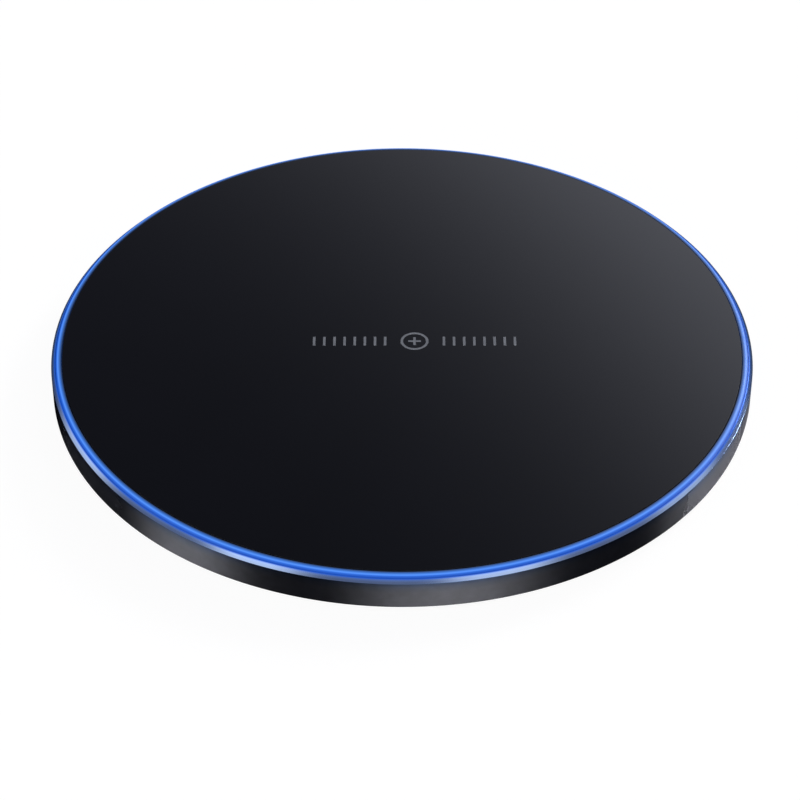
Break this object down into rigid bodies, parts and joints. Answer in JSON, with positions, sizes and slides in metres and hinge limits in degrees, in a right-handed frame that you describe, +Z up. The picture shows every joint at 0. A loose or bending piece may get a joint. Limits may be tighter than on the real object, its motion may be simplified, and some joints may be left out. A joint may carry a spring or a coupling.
{
  "type": "wireless charging pad",
  "caption": "Slim round wireless charging pad with a gloss black glass top, a lit blue ring let into a chamfered black metal rim, rubber feet and a supply socket at the rear.",
  "frame": {"origin": "centre of the surface that the feet stand on, under the middle of the pad", "axes": "+Z up through the glass, +Y towards the supply socket at the rear, +X to the right when the pad is seen from the front"},
  "size_m": [0.1, 0.1, 0.006],
  "materials": {
    "glass_black": "gloss",
    "tape_black": "matt",
    "light_ring": "frosted, lit from behind",
    "rim_anodised": "black anodised wall with a polished top chamfer",
    "base_plastic": "fine spark texture",
    "foot_silicone": "matt",
    "screw_steel": "plain",
    "socket_steel": "bright plated",
    "socket_plastic": "moulded",
    "coil_copper": "enamelled strands",
    "ferrite": "matt",
    "tray_plastic": "moulded",
    "thermistor_epoxy": "gloss",
    "board_green": "solder mask",
    "chip_black": "moulded",
    "capacitor_ceramic": "sintered",
    "inductor_grey": "pressed powder",
    "led_white": "moulded"
  },
  "bodies": {
    "root": {"top_panel": "glass_black", "panel_adhesive": "tape_black", "light_guide_ring": "light_ring", "rim_frame": "rim_anodised", "base_cover": "base_plastic", "foot_pad_1": "foot_silicone", "base_screw_1": "screw_steel", "foot_pad_2": "foot_silicone", "base_screw_2": "screw_steel", "foot_pad_3": "foot_silicone", "base_screw_3": "screw_steel", "foot_pad_4": "foot_silicone", "base_screw_4": "screw_steel", "coil_carrier": "tray_plastic", "ferrite_shield": "ferrite", "coil_winding": "coil_copper", "coil_lead_inner": "coil_copper", "coil_lead_outer": "coil_copper", "thermistor": "thermistor_epoxy", "main_board": "board_green", "usb_shell": "socket_steel", "usb_insert": "socket_plastic", "led_1": "led_white", "led_2": "led_white", "led_3": "led_white", "led_4": "led_white", "led_5": "led_white", "led_6": "led_white", "buck_inductor": "inductor_grey", "input_regulator": "chip_black", "input_capacitor_1": "capacitor_ceramic", "input_capacitor_2": "capacitor_ceramic", "controller_chip": "chip_black", "sense_resistor": "chip_black", "power_bridge_1": "chip_black", "power_bridge_2": "chip_black", "resonant_capacitor_1": "capacitor_ceramic", "resonant_capacitor_2": "capacitor_ceramic", "resonant_capacitor_3": "capacitor_ceramic", "resonant_capacitor_4": "capacitor_ceramic"}
  },
  "joints": []
}
